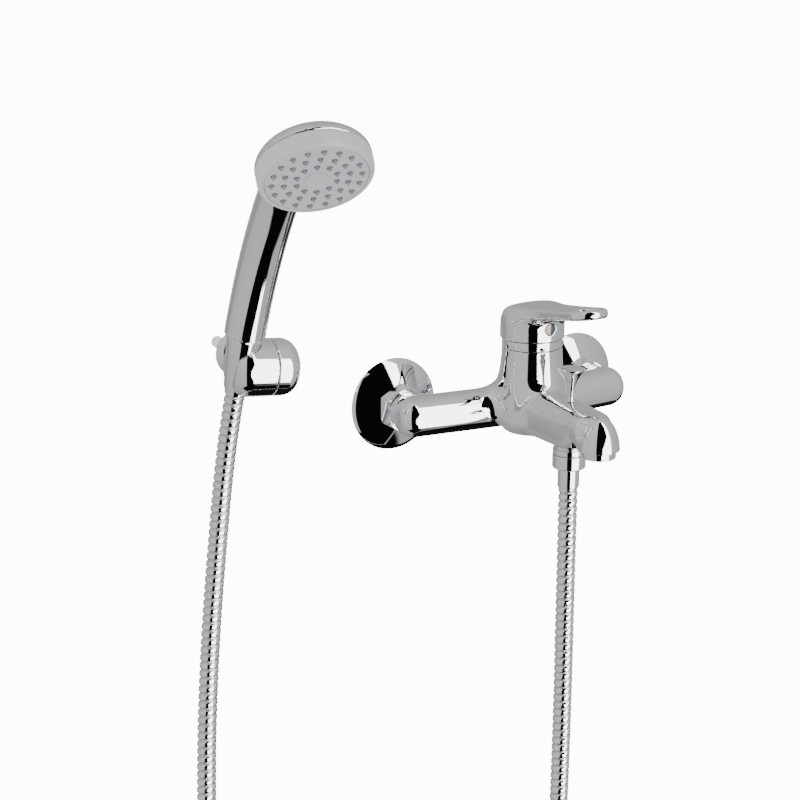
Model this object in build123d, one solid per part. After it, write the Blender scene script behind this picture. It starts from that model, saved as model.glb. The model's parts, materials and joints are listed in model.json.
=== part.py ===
from build123d import *
import math
import os

# Wall-mounted single-lever bath mixer with a diverter, shower hose, handset and swivel wall bracket.
# Millimetres. The finished wall is the plane Y = 0 and the room lies towards -Y; X runs along the
# wall and Z points up. The origin is on the wall, midway between the two inlets, at arm height.

# ---- driving dimensions ------------------------------------------------------------------------
running_gap = 0.05            # radial clearance of a pin or shaft in its bore
free_gap = 0.3                # clearance between parts that pass each other freely
joint_gap = 0.2               # clearance between parts that are screwed up against each other

half_inch_thread_r = 10.48    # G1/2 male thread, major radius
half_inch_pitch_r = 9.9       # G1/2 thread modelled at its pitch radius inside a nut
three_quarter_pitch_r = 12.64  # G3/4 thread at its pitch radius

inlet_spacing = 150.0         # centre to centre of the two inlets
union_offset = 8.0            # eccentricity of each wall union
union_tail_length = 18.0      # thread that enters the wall fitting
flange_r = 32.5
flange_depth = 10.0
flange_wall = 1.2
nut_across_flats = 30.0
nut_length = 10.2
washer_thickness = 1.5

arm_r = 14.0
arm_standoff = 35.0           # wall to the arm's axis at the inlet
arm_rake = 7.0                # how much further out the arms' axes are where they meet
arm_overhang = 16.5           # arm's rounded end beyond the inlet axis
arm_bore_r = 5.5

column_offset = 58.0          # wall to the column's axis
column_r = 20.4
column_foot_r = 22.0
column_top = 40.3
column_taper_start = 25.0
body_floor = -14.0
chamber_r = 17.5              # cartridge chamber
chamber_floor = 8.0

spout_reach = 137.5           # wall to the aerator's axis
nose_r = 14.0
nose_rim = -7.0
spout_root_width = 36.0
spout_root_top = 19.5
spout_nose_top = 15.5
spout_edge_r = 6.0
aerator_r = 11.5
aerator_drop = 5.0            # aerator ring below the nose's rim
aerator_cavity_r = 12.0

outlet_offset = 105.0         # wall to the diverter's and hose outlet's axis
diverter_chamber_r = 8.0
diverter_port_r = 6.0
diverter_travel = 8.0
stem_r = 1.6
knob_r = 8.0
knob_height = 20.2
knob_waist_r = 2.1

ring_r = 20.4                 # cover ring between body and lever
ring_height = 6.2
lever_skirt_r = 21.9
lever_skirt_wall = 1.2
lever_skirt_top = 73.0
lever_tip_reach = 138.0       # wall to the lever's tip
lever_tip_z = 82.5
lever_width = 27.0
lever_thickness = 5.0
lever_pivot_z = 34.6
spindle_width = 8.0
spindle_reach = 25.0          # spindle's square end above the pivot
indicator_r = 3.3
indicator_z = 59.0

hose_r = 6.5
hose_wall = 0.7               # metal jacket; the soft inner tube is left out
hose_nut_r = 11.2
hose_nut_length = 9.4
hose_nut_top = -18.6
ferrule_r = 7.3
ferrule_length = 13.7
cone_ferrule_r = 6.85

bracket_x = -208.1            # point where the cone's axis crosses the barrel's axis
bracket_standoff = 42.0
bracket_z = 52.2
bracket_roll = 5.5            # degrees the bracket is turned on its wall screw
holder_lean = 12.87           # degrees the cone leans out from the wall at rest
barrel_r = 18.4
barrel_wall = 4.6
barrel_left = -4.5
barrel_right = 28.2
core_left = 12.5
core_right = 24.4
stem_radius = 5.0
stem_centre = 17.6
rosette_r = 15.5
rosette_depth = 6.5
cap_length = 16.6
plug_r = 4.0
plug_length = 34.0

cone_top = 22.2               # heights along the cone's axis, from the barrel's axis
cone_bottom = -14.0
cone_top_r = 11.2
cone_bottom_r = 7.9
seam_gap = 0.4
handle_r = 13.0
handle_wall = 2.0
handle_bend_r = 280.0
handle_bend_degrees = 20.0    # turned through before the tighter neck under the head
handset_twist = 6.3           # degrees the handset is turned in its holder at rest
face_lift = 150.2             # face centre along the cone's axis
face_forward = 72.4           # face centre outward from the cone's axis
face_angle = 124.7            # degrees from the cone's axis to the spray direction
face_r = 34.0
face_ring_depth = 7.0
plate_r = 29.4
dome_depth = 22.0
neck_end_depth = 16.0         # where the handle's centre line ends, behind the face
shell_wall = 2.2

arm_side = {"left": -1, "right": 1}


# ---- helpers -----------------------------------------------------------------------------------
def rod(radius, start, end):
    """Round bar between two points."""
    start = Vector(*start)
    end = Vector(*end)
    run = end - start
    bar = Cylinder(radius, run.length, align=(Align.CENTER, Align.CENTER, Align.MIN))
    return Plane(origin=start, z_dir=run) * bar


def turned(profile, where=Plane.XY):
    """Solid of revolution of an (r, z) outline about the Z axis of a plane."""
    face = Plane.XZ * Polygon(*profile, align=None)
    return where * revolve(face, Axis.Z)


def turned_outline(edges, where=Plane.XY):
    """Solid of revolution of an outline with curved edges, drawn in (r, z)."""
    face = Plane.XZ * make_face(Curve() + edges)
    return where * revolve(face, Axis.Z)


def tube(outer, inner, start, end):
    """Round bar with a round hole along it; the hole runs past both faces."""
    start = Vector(*start)
    end = Vector(*end)
    past = (end - start).normalized()
    return rod(outer, start, end) - rod(inner, start - past, end + past)


def save(shape, name):
    """Write one named node."""
    export_step(shape, f"parts/{name}.step")


def upright(y, z=0.0):
    """Vertical axis plane on the centre line, y out from the wall."""
    return Plane(origin=(0, -y, z))


def solid_of(shape):
    """The single solid of a shape."""
    return shape.solids().sort_by(SortBy.VOLUME)[-1]


# ---- wall unions -------------------------------------------------------------------------------
nut_front = arm_standoff - arm_r - 0.5
nut_back = nut_front - nut_length
union_face = nut_back + 3.2
collar_back = union_face + washer_thickness
collar_front = collar_back + 1.5
stub_r = three_quarter_pitch_r - 1.3
collar_r = three_quarter_pitch_r - joint_gap


def wall_flange(side):
    """Shallow domed cover plate with a hole for the union's round body."""
    x = side * inlet_spacing / 2
    inner_r = three_quarter_pitch_r + joint_gap
    lip_r = inner_r + 1.6
    rim = (flange_r, 0)
    outer = [
        Line((flange_r - flange_wall, 0), rim),
        ThreePointArc(rim, (flange_r * 0.8, flange_depth * 0.62), (lip_r, flange_depth)),
        Line((lip_r, flange_depth), (inner_r, flange_depth)),
        Line((inner_r, flange_depth), (inner_r, flange_depth - flange_wall)),
        Line((inner_r, flange_depth - flange_wall), (lip_r, flange_depth - flange_wall)),
        ThreePointArc(
            (lip_r, flange_depth - flange_wall),
            ((flange_r - flange_wall) * 0.8, (flange_depth - flange_wall) * 0.62),
            (flange_r - flange_wall, 0),
        ),
    ]
    return turned_outline(outer, Plane(origin=(x, 0, 0), z_dir=(0, -1, 0)))


def eccentric_union(side):
    """S-shaped union: wall thread below, mixer thread above, joined by a disc."""
    x = side * inlet_spacing / 2
    tail = rod(half_inch_thread_r, (x, union_tail_length, -union_offset), (x, 1, -union_offset))
    z = -union_offset * 0.45
    disc = rod(three_quarter_pitch_r + union_offset * 0.55, (x, 1, z), (x, -3, z))
    front = rod(three_quarter_pitch_r, (x, -3, 0), (x, -union_face, 0))
    tail_bore = rod(7, (x, union_tail_length + 1, -union_offset), (x, -1, -union_offset))
    front_bore = rod(8.5, (x, -1, 0), (x, -union_face - 1, 0))
    return tail + disc + front - tail_bore - front_bore


def union_nut(side):
    """Captive hexagon nut that pulls the mixer's inlet collar onto the union."""
    x = side * inlet_spacing / 2
    plane = Plane(origin=(x, -nut_back, 0), z_dir=(0, -1, 0))
    corner_r = nut_across_flats / math.sqrt(3)
    blank = plane * extrude(RegularPolygon(corner_r, 6), nut_length)
    chamfered = blank & turned(
        [(0, 0), (corner_r - 1.6, 0), (corner_r, 1.2), (corner_r, nut_length - 3.0),
         (corner_r - 2.2, nut_length), (0, nut_length)],
        plane,
    )
    thread = rod(three_quarter_pitch_r + joint_gap, (x, -nut_back + 1, 0), (x, -collar_front - joint_gap, 0))
    neck = rod(stub_r + joint_gap, (x, -nut_back, 0), (x, -nut_front - 1, 0))
    return chamfered - thread - neck


def inlet_washers():
    """Flat sealing washers between each union and the mixer's inlet collar."""
    rings = [
        tube(collar_r - 0.6, 8.0, (side * inlet_spacing / 2, -union_face, 0),
             (side * inlet_spacing / 2, -collar_back, 0))
        for side in arm_side.values()
    ]
    return Compound(children=rings)


# ---- mixer body --------------------------------------------------------------------------------
column_axis = upright(column_offset)
arm_root_y = arm_standoff + arm_rake
cartridge_r = chamber_r - joint_gap
port_circle_r = 11.4          # cartridge ports, measured from the column's axis
port_angle = 48.0             # degrees of each inlet port from the rearward direction
outlet_port = (0.0, -column_offset - 10.0)
inlet_ports = [
    (side * port_circle_r * math.sin(math.radians(port_angle)),
     -column_offset + port_circle_r * math.cos(math.radians(port_angle)))
    for side in arm_side.values()
]
gland_bottom = spout_nose_top - 2.6
spout_top_at_outlet = spout_root_top + (spout_nose_top - spout_root_top) * (
    (outlet_offset - column_offset) / (spout_reach - column_offset))


def arm(side):
    """Outer shape of one raked arm with its rounded end and inlet stub."""
    root = Vector(0, -arm_root_y, 0)
    elbow = Vector(side * inlet_spacing / 2, -arm_standoff, 0)
    along = (elbow - root).normalized()
    bar = rod(arm_r, root, elbow + along * arm_overhang)
    outer_edge = bar.edges().filter_by(GeomType.CIRCLE).sort_by(Axis.X)[-1 if side > 0 else 0]
    bar = fillet(outer_edge, arm_r * 0.8)
    stub = rod(stub_r, elbow, (elbow.X, -collar_front, 0))
    collar = rod(collar_r, (elbow.X, -collar_front, 0), (elbow.X, -collar_back, 0))
    return bar + stub + collar


def arm_bores(side):
    """Waterway of one arm: inlet, run to the column and port up to the cartridge."""
    root = Vector(0, -arm_root_y, 0)
    elbow = Vector(side * inlet_spacing / 2, -arm_standoff, 0)
    along = (elbow - root).normalized()
    inner_end = root + along * 5.0
    run = rod(arm_bore_r, inner_end, elbow)
    inlet = rod(8.0, elbow, (elbow.X, -collar_back + 1, 0))
    x, y = inlet_ports[0 if side < 0 else 1]
    port = rod(2.8, (x, -arm_root_y - 2.0, -2), (x, y, chamber_floor + 1))
    return run + inlet + port


def lengthwise_edges(shape):
    """Straight edges that run out from the wall."""
    return [edge for edge in shape.edges().filter_by(GeomType.LINE) if abs(edge.tangent_at(0.5).Y) > 0.9]


def spout():
    """Outer shape of the spout: a broad bar that ends in a round domed nose."""
    half_root = spout_root_width / 2
    plan = make_face(Polyline(
        (-half_root, -column_offset), (-nose_r, -spout_reach), (nose_r, -spout_reach),
        (half_root, -column_offset), (-half_root, -column_offset)))
    plan = plan + Pos(0, -spout_reach) * Circle(nose_r)
    bar = Pos(0, 0, body_floor) * extrude(plan, spout_root_top - body_floor)
    front = spout_reach + nose_r
    underside_turn = outlet_offset + hose_nut_r
    side = make_face(Curve() + [
        Polyline((column_offset, spout_root_top), (column_offset, body_floor), (underside_turn, body_floor),
                 (underside_turn + 6, nose_rim), (front, nose_rim)),
        ThreePointArc((front, nose_rim), (spout_reach + nose_r * 0.78, spout_nose_top * 0.52),
                      (spout_reach, spout_nose_top)),
        Line((spout_reach, spout_nose_top), (column_offset, spout_root_top)),
    ])
    wide = Plane(origin=(-40, 0, 0), x_dir=(0, -1, 0), z_dir=(-1, 0, 0)) * extrude(side, -80)
    blank = bar & wide
    upper = [edge for edge in lengthwise_edges(blank) if edge.center().Z > 10]
    around_nose = [edge for edge in blank.edges() if edge.geom_type == GeomType.BSPLINE]
    blank = fillet(upper + around_nose, spout_edge_r)
    lower = [edge for edge in lengthwise_edges(blank) if edge.center().Z < body_floor + 1]
    return fillet(lower, spout_edge_r)


def mixer_body():
    """One-piece casting: two arms, cartridge column and spout, with its waterways."""
    column = turned(
        [(0, body_floor), (column_foot_r - 5, body_floor), (column_foot_r, body_floor + 6),
         (column_foot_r, column_taper_start), (column_r, column_top), (0, column_top)],
        column_axis,
    )
    body = column + spout()
    for side in arm_side.values():
        body = body + arm(side)
    chamber = rod(chamber_r, (0, -column_offset, chamber_floor), (0, -column_offset, column_top + 1))
    body = body - chamber
    for side in arm_side.values():
        body = body - arm_bores(side)
    mixed = rod(3.0, (*outlet_port, chamber_floor + 1), (*outlet_port, -4))
    channel = rod(3.5, (0, -column_offset - 8, -1), (0, -outlet_offset, -1))
    diverter = rod(diverter_chamber_r, (0, -outlet_offset, -8), (0, -outlet_offset, 7))
    ports = rod(diverter_port_r, (0, -outlet_offset, -10), (0, -outlet_offset, gland_bottom))
    gland_bore = rod(4.6, (0, -outlet_offset, 0), (0, -outlet_offset, spout_root_top + 5))
    outlet = rod(half_inch_pitch_r - 1.4, (0, -outlet_offset, body_floor - 1), (0, -outlet_offset, -9.5))
    gallery = rod(2.6, (0, -outlet_offset, 9.8), (0, -spout_reach + 4, 9.8))
    drop = rod(3.0, (0, -spout_reach + 4, 9.8), (0, -spout_reach + 4, 0))
    cavity = rod(aerator_cavity_r, (0, -spout_reach, nose_rim - 1), (0, -spout_reach, 3.0))
    for cut in (mixed, channel, diverter, ports, gland_bore, outlet, gallery, drop, cavity):
        body = body - cut
    return solid_of(body)


# ---- cartridge ---------------------------------------------------------------------------------
ports = inlet_ports + [outlet_port]
seal_height = 1.2
housing_bottom = chamber_floor + seal_height
disc_level = housing_bottom + 4.0
disc_thickness = 3.0
disc_r = 13.0
housing_top = column_top - 6.0
clamp_nut_top = column_top - 0.6
turret_r = 10.5


def cartridge_seals():
    """Three rubber port seals under the cartridge."""
    rings = [tube(4.6, 3.2, (x, y, chamber_floor), (x, y, housing_bottom)) for x, y in ports]
    return Compound(children=rings)


def cartridge_housing():
    """Plastic cup that holds the ceramic discs, with ports in its base and a lid hole."""
    floor = housing_bottom
    shell = rod(cartridge_r, (0, -column_offset, floor), (0, -column_offset, housing_top))
    room = rod(cartridge_r - 2.2, (0, -column_offset, floor + 3.8), (0, -column_offset, housing_top - 3))
    mouth = rod(turret_r + running_gap, (0, -column_offset, floor + 5), (0, -column_offset, housing_top + 1))
    body = shell - room - mouth
    for x, y in ports:
        body = body - rod(2.6, (x, y, floor - 1), (x, y, floor + 5))
    return solid_of(body)


def ceramic_disc_fixed():
    """Lower ceramic disc with its two inlet ports and one outlet port."""
    disc = rod(disc_r, (0, -column_offset, disc_level - 0.1), (0, -column_offset, disc_level + disc_thickness))
    for x, y in ports:
        x = 0.88 * x
        y = 0.88 * (y + column_offset) - column_offset
        disc = disc - rod(2.2, (x, y, disc_level - 1), (x, y, disc_level + 9))
    return disc


def ceramic_disc_moving():
    """Upper ceramic disc with a blind mixing recess underneath and a socket for the spindle's tip."""
    low = disc_level + disc_thickness + 0.05
    disc = rod(10.4, (0, -column_offset, low), (0, -column_offset, low + disc_thickness))
    recess = Pos(0, -column_offset - 1, low) * Box(9, 12, 2.4)
    return disc - recess


def cartridge_turret():
    """Swivelling carrier in the cartridge that carries the lever spindle's pivot."""
    low = disc_level + 2 * disc_thickness + 0.4
    ring = tube(turret_r, 7.0, (0, -column_offset, low + 2.2), (0, -column_offset, housing_top + 3))
    skirt = tube(14.6, 7.0, (0, -column_offset, low), (0, -column_offset, low + 2.4))
    turret = skirt + ring
    slot = Pos(0, -column_offset, lever_pivot_z) * Box(spindle_width + 0.8, 15.6, 30)
    pin_hole = rod(1.5 + running_gap, (-30, -column_offset, lever_pivot_z), (30, -column_offset, lever_pivot_z))
    return solid_of(turret - slot - pin_hole)


def cartridge_spindle():
    """Square lever spindle that rocks on the turret's cross pin and pushes the upper disc."""
    top = lever_pivot_z + spindle_reach
    low = disc_level + 2 * disc_thickness + 1.2
    middle = (lever_pivot_z + top) / 2
    square = Pos(0, -column_offset, middle) * Box(spindle_width, spindle_width, top - lever_pivot_z)
    barrel = Pos(0, -column_offset, lever_pivot_z) * Box(spindle_width, 7, 7)
    tip = rod(2.2, (0, -column_offset, lever_pivot_z), (0, -column_offset, low))
    pin_end = turret_r - 0.4
    pin = rod(1.5, (-pin_end, -column_offset, lever_pivot_z), (pin_end, -column_offset, lever_pivot_z))
    return square + barrel + tip + pin


def clamp_nut():
    """Brass ring nut that clamps the cartridge into the column."""
    low = housing_top + joint_gap
    ring = tube(cartridge_r, turret_r + 1.0, (0, -column_offset, low), (0, -column_offset, clamp_nut_top))
    for quarter in range(4):
        notch = Rot(0, 0, 90 * quarter) * Pos(cartridge_r - 2, 0, 0) * Box(5, 4, 3)
        ring = ring - Pos(0, -column_offset, clamp_nut_top) * notch
    return solid_of(ring)


def cover_ring():
    """Plain polished ring that hides the cartridge nut, between column and lever."""
    low = column_top + joint_gap
    top = low + ring_height
    return turned(
        [(15.5, low), (ring_r, low), (ring_r, top - 0.6), (ring_r - 0.6, top), (16.6, top), (15.5, top - 2)],
        column_axis,
    )


# ---- lever -------------------------------------------------------------------------------------
skirt_bottom = column_top + joint_gap + ring_height + 0.35
skirt_inner_r = lever_skirt_r - lever_skirt_wall
loop_centre_y = lever_tip_reach - lever_width * 0.5


def lever():
    """Cast lever: domed skirt over the cartridge and a long blade with a finger loop."""
    top = lever_skirt_top
    shoulder_r = lever_skirt_r - 0.6
    shoulder_z = skirt_bottom + 14
    outer = turned_outline(
        [
            Polyline((0, skirt_bottom), (shoulder_r, skirt_bottom), (lever_skirt_r, skirt_bottom + 1.2),
                     (shoulder_r, shoulder_z)),
            ThreePointArc((shoulder_r, shoulder_z), (lever_skirt_r - 5.2, top - 2.9), (10, top - 0.5)),
            Polyline((10, top - 0.5), (0, top), (0, skirt_bottom)),
        ],
        column_axis,
    )
    rise = lever_tip_z - lever_thickness - (top - 9)
    run = lever_tip_reach - column_offset
    tilt = math.degrees(math.atan2(rise, run))
    half = lever_width / 2
    length = math.hypot(rise, run)
    plan = make_face(Polyline((-18, 0), (-half, -length * 0.5), (-half, -length + half), (half, -length + half),
                              (half, -length * 0.5), (18, 0), (-18, 0)))
    plan = plan + Pos(0, -length + half) * Circle(half)
    plan = plan - Pos(0, -length + half) * Ellipse(half - 5.5, half - 4.0)
    blade = extrude(plan, lever_thickness)
    blade = Plane(origin=(0, -column_offset, top - 9)) * Rot(-tilt, 0, 0) * blade
    body = outer + blade
    hollow = turned(
        [(0, skirt_bottom - 1), (skirt_inner_r, skirt_bottom - 1), (skirt_inner_r, skirt_bottom + 12),
         (skirt_inner_r - 6, top - 7), (0, top - 5)],
        column_axis,
    )
    body = body - (hollow - Pos(0, -column_offset, top - 8) * Box(14, 14, 26))
    socket_width = spindle_width + 2 * running_gap
    socket_reach = lever_pivot_z + spindle_reach + 0.3 - skirt_bottom
    socket = Pos(0, -column_offset, skirt_bottom) * Box(socket_width, socket_width, 2 * socket_reach)
    z = indicator_z
    window = rod(indicator_r + running_gap, (0, -column_offset - 14, z), (0, -column_offset - 30, z))
    screw_hole = rod(2.5 + running_gap, (0, -column_offset, z - 2), (0, -column_offset - 14, z - 2))
    return solid_of(body - socket - window - screw_hole)


def lever_grub_screw():
    """Socket set screw that clamps the lever to the spindle."""
    z = indicator_z - 2
    start = column_offset + spindle_width / 2 + 0.1
    screw = rod(2.5, (0, -start, z), (0, -start - 6, z))
    key = Plane(origin=(0, -start - 3, z), z_dir=(0, -1, 0)) * extrude(RegularPolygon(1.4, 6), 5)
    return screw - key


def indicator_plug():
    """Round hot and cold plug in the front of the skirt."""
    front = column_offset + lever_skirt_r + 0.2
    return rod(indicator_r, (0, -front + 3.4, indicator_z), (0, -front, indicator_z))


# ---- diverter ----------------------------------------------------------------------------------
valve_low = -7.9
valve_height = 6.6
knob_base = spout_top_at_outlet + free_gap


def diverter_gland():
    """Threaded guide bush for the diverter's stem, flush with the spout's top."""
    return tube(4.5, stem_r + running_gap, (0, -outlet_offset, gland_bottom),
                (0, -outlet_offset, spout_top_at_outlet - 0.6))


def diverter_stem():
    """Pull rod from the valve up into the knob."""
    return rod(stem_r, (0, -outlet_offset, valve_low + 0.2), (0, -outlet_offset, knob_base + 8))


def diverter_knob():
    """Trumpet-shaped pull knob with a flat top."""
    waist = knob_waist_r + 0.3
    edges = [
        Polyline((0, 0), (waist + 0.4, 0), (waist, 1.0), (knob_waist_r, 4.0)),
        ThreePointArc((knob_waist_r, 4.0), (3.2, knob_height - 8.0), (knob_r - 0.3, knob_height - 1.6)),
        Polyline((knob_r - 0.3, knob_height - 1.6), (knob_r, knob_height - 1.2), (knob_r, knob_height - 0.5),
                 (knob_r - 0.5, knob_height), (0, knob_height), (0, 0)),
    ]
    knob = turned_outline(edges, upright(outlet_offset, knob_base))
    return knob - rod(stem_r, (0, -outlet_offset, knob_base - 1), (0, -outlet_offset, knob_base + 8))


def diverter_valve():
    """Brass spool with grooves for its two rubber rings."""
    r = diverter_chamber_r - 0.6
    spool = turned(
        [(stem_r, 0), (r - 1.6, 0), (r - 1.6, 1.5), (r - 3, 1.5), (r - 3, valve_height - 1.5),
         (r - 1.6, valve_height - 1.5), (r - 1.6, valve_height), (stem_r, valve_height)],
        upright(outlet_offset, valve_low),
    )
    return spool


def diverter_rings():
    """Rubber sealing rings at the two faces of the diverter spool."""
    r = diverter_chamber_r - 0.6
    rings = [
        tube(r, r - 1.6, (0, -outlet_offset, valve_low + base), (0, -outlet_offset, valve_low + base + 1.5))
        for base in (0, valve_height - 1.5)
    ]
    return Compound(children=rings)


spring_low = valve_low + valve_height + 0.1
spring_wire = 0.4


def diverter_spring():
    """Light return spring above the valve, around the stem."""
    height = gland_bottom - spring_low - 2 * spring_wire
    path = Helix(pitch=height / 5, height=height, radius=3.2)
    wire = sweep(Plane(origin=path @ 0, z_dir=path % 0) * Circle(spring_wire), path=path, is_frenet=True)
    return Pos(0, -outlet_offset, spring_low + spring_wire) * wire


# ---- aerator and hose outlet -------------------------------------------------------------------
aerator_low = nose_rim - aerator_drop


def aerator_housing():
    """Threaded metal ring of the aerator; its rim shows below the nose."""
    return turned(
        [(aerator_r - 2.2, aerator_low), (aerator_r - 0.5, aerator_low), (aerator_r, aerator_low + 0.5),
         (aerator_r, nose_rim + 6), (aerator_r - 1.6, nose_rim + 6), (aerator_r - 1.6, aerator_low + 1.2),
         (aerator_r - 2.2, aerator_low + 1.2)],
        upright(spout_reach),
    )


def aerator_insert():
    """Plastic jet former with a honeycomb of holes."""
    r = aerator_r - 1.7
    insert = rod(r, (0, -spout_reach, aerator_low + 1.4), (0, -spout_reach, nose_rim + 5.4))
    pitch = 3.1
    for row in range(-2, 3):
        for column in range(-2, 3):
            x = (column + row / 2) * pitch
            y = row * pitch * math.sqrt(3) / 2
            if math.hypot(x, y) < r - 2:
                insert = insert - rod(1.1, (x, -spout_reach + y, aerator_low), (x, -spout_reach + y, nose_rim + 7))
    return insert


def aerator_washer():
    """Flat rubber washer between the aerator and the nose's seat."""
    return tube(aerator_r, 7.5, (0, -spout_reach, nose_rim + 6.1), (0, -spout_reach, 2.9))


def outlet_nipple():
    """Threaded nipple in the body's underside that the hose nut screws on."""
    low = hose_nut_top - 5.2
    return turned(
        [(4.5, low), (half_inch_pitch_r, low), (half_inch_pitch_r, hose_nut_top + 1.2),
         (half_inch_pitch_r - 1.5, hose_nut_top + 1.8), (half_inch_pitch_r - 1.5, -9.7), (4.5, -9.7)],
        upright(outlet_offset),
    )


nut_low = hose_nut_top - hose_nut_length
ferrule_low = nut_low - ferrule_length
washer_high = hose_nut_top - 5.3
washer_low = washer_high - 1.6


def hose_washer_lower():
    """Rubber washer inside the hose nut."""
    return tube(half_inch_pitch_r - 0.5, 4.5, (0, -outlet_offset, washer_low), (0, -outlet_offset, washer_high))


def hose_nut():
    """Short round nut with gripping flats that joins the hose to the outlet."""
    plane = upright(outlet_offset, nut_low)
    blank = turned(
        [(ferrule_r + 0.1, 0), (hose_nut_r - 1.6, 0), (hose_nut_r, 1.6), (hose_nut_r, hose_nut_length - 1.0),
         (hose_nut_r - 1.0, hose_nut_length), (half_inch_pitch_r + 0.1, hose_nut_length),
         (half_inch_pitch_r + 0.1, 1.3), (ferrule_r + 0.1, 1.3)],
        plane,
    )
    grip = plane * extrude(RegularPolygon(hose_nut_r - 0.12, 14, major_radius=False), hose_nut_length)
    return blank & grip


def hose_ferrule_lower():
    """Crimped hose end: a flange inside the nut and a plain sleeve below it."""
    flange_low = nut_low + 1.4
    return turned(
        [(4.5, ferrule_low), (ferrule_r - 0.4, ferrule_low), (ferrule_r, ferrule_low + 0.5), (ferrule_r, flange_low),
         (half_inch_pitch_r - 0.4, flange_low), (half_inch_pitch_r - 0.4, washer_low - 0.1), (4.5, washer_low - 0.1)],
        upright(outlet_offset),
    )


# ---- wall bracket ------------------------------------------------------------------------------
# Local frame: X along the barrel, Z up the cone's axis, -Y outward; origin where the axes cross.
roll = math.radians(bracket_roll)
lean = math.radians(holder_lean)
barrel_dir = Vector(math.cos(roll), 0, -math.sin(roll))
cone_dir = Vector(math.sin(roll) * math.cos(lean), -math.sin(lean), math.cos(roll) * math.cos(lean))
bracket_origin = Vector(bracket_x, -bracket_standoff, bracket_z)
holder_frame = Plane(origin=bracket_origin, x_dir=barrel_dir, z_dir=cone_dir)
wall_frame = Plane(origin=bracket_origin, x_dir=barrel_dir, z_dir=Vector(math.sin(roll), 0, math.cos(roll)))
handset_frame = holder_frame * Location((0, 0, 0), (0, 0, -handset_twist))
counterbore_r = barrel_r - 2.6
bore_r = barrel_r - barrel_wall
lip_start = barrel_right - 2.0
cone_slope = (cone_top_r - cone_bottom_r) / (cone_top - cone_bottom)


def cone_r(z):
    """Outer radius of the conical nut at a height along its axis."""
    return cone_bottom_r + (z - cone_bottom) * cone_slope


def along_barrel(radius, start, end):
    """Round bar about the barrel's axis in the local frame."""
    return rod(radius, (start, 0, 0), (end, 0, 0))


def holder_barrel():
    """Swivelling barrel with an open-sided conical seat for the hose's nut."""
    shell = along_barrel(barrel_r, barrel_left, barrel_right)
    left_edge = shell.edges().filter_by(GeomType.CIRCLE).sort_by(Axis.X)[0]
    shell = fillet(left_edge, 6.0)
    reach = barrel_r + 2
    seat = turned(
        [(0, -reach), (cone_r(-reach) + 0.1, -reach), (cone_r(reach) + 0.1, reach), (0, reach)]
    )
    pocket = along_barrel(bore_r, core_left - 0.2, barrel_right + 1)
    counterbore = along_barrel(counterbore_r, core_right - 0.2, barrel_right + 1)
    wedge = Plane.YZ * make_face(Polyline(
        (0, 0), (40 * math.cos(math.radians(28)), 40 * math.sin(math.radians(28))), (60, -20),
        (40 * math.cos(math.radians(-78)), 40 * math.sin(math.radians(-78))), (0, 0)))
    slot = Pos(core_left - 0.2, 0, 0) * extrude(wedge, 40)
    return holder_frame * solid_of(shell - seat - pocket - counterbore - slot)


def bracket_base():
    """Fixed base: wall disc, stem and the core that the barrel turns on."""
    core = along_barrel(bore_r - running_gap, core_left, core_right)
    stem = rod(stem_radius, (stem_centre, 0, 0), (stem_centre, bracket_standoff - 2, 0))
    disc = rod(10, (stem_centre, bracket_standoff - 3, 0), (stem_centre, bracket_standoff, 0))
    base = core + stem + disc
    wall_hole = rod(2.1, (stem_centre, -30, 0), (stem_centre, bracket_standoff + 1, 0))
    head_pocket = rod(4.0, (stem_centre, -30, 0), (stem_centre, -6, 0))
    tapped = along_barrel(1.95, core_right - 4, core_right + 1)
    return wall_frame * solid_of(base - wall_hole - head_pocket - tapped)


def bracket_rosette():
    """Domed cover that hides the base disc against the wall."""
    inner = stem_radius + joint_gap
    dome = turned_outline(
        [
            Line((rosette_r - 1.2, 0), (rosette_r, 0)),
            ThreePointArc((rosette_r, 0), (rosette_r * 0.84, rosette_depth * 0.6), (inner, rosette_depth)),
            Line((inner, rosette_depth), (inner, rosette_depth - 1.2)),
            ThreePointArc((inner, rosette_depth - 1.2), ((rosette_r - 1.2) * 0.84, (rosette_depth - 1.2) * 0.6),
                          (rosette_r - 1.2, 0)),
        ],
        Plane(origin=(stem_centre, bracket_standoff, 0), z_dir=(0, -1, 0)),
    )
    return wall_frame * dome


def wall_screw():
    """Countersunk screw through the core and stem into the wall plug."""
    shank = rod(2.0, (stem_centre, -7, 0), (stem_centre, bracket_standoff + plug_length - 4, 0))
    head = rod(3.8, (stem_centre, -8.6, 0), (stem_centre, -6.1, 0))
    slot = Pos(stem_centre, -8.6, 0) * Box(6, 1.6, 1.1)
    return wall_frame * (shank + head - slot)


def wall_plug():
    """Plastic expansion plug behind the bracket."""
    start = bracket_standoff + 0.2
    plug = tube(plug_r, 2.0 + running_gap, (stem_centre, start, 0), (stem_centre, start + plug_length, 0))
    return wall_frame * plug


def friction_washer():
    """Disc screwed to the core; it clamps the barrel's step and gives the tilt its friction."""
    return wall_frame * tube(counterbore_r - running_gap, 2.1, (core_right + 0.1, 0, 0), (lip_start - 0.3, 0, 0))


def pivot_screw():
    """Pan-head screw that holds the friction washer to the core."""
    thread = along_barrel(1.9, core_right - 3.8, lip_start - 0.2)
    head = along_barrel(4.2, lip_start - 0.2, lip_start + 2.2)
    slot = Pos(lip_start + 2.2, 0, 0) * Box(1.6, 1.1, 7)
    return wall_frame * (thread + head - slot)


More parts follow.
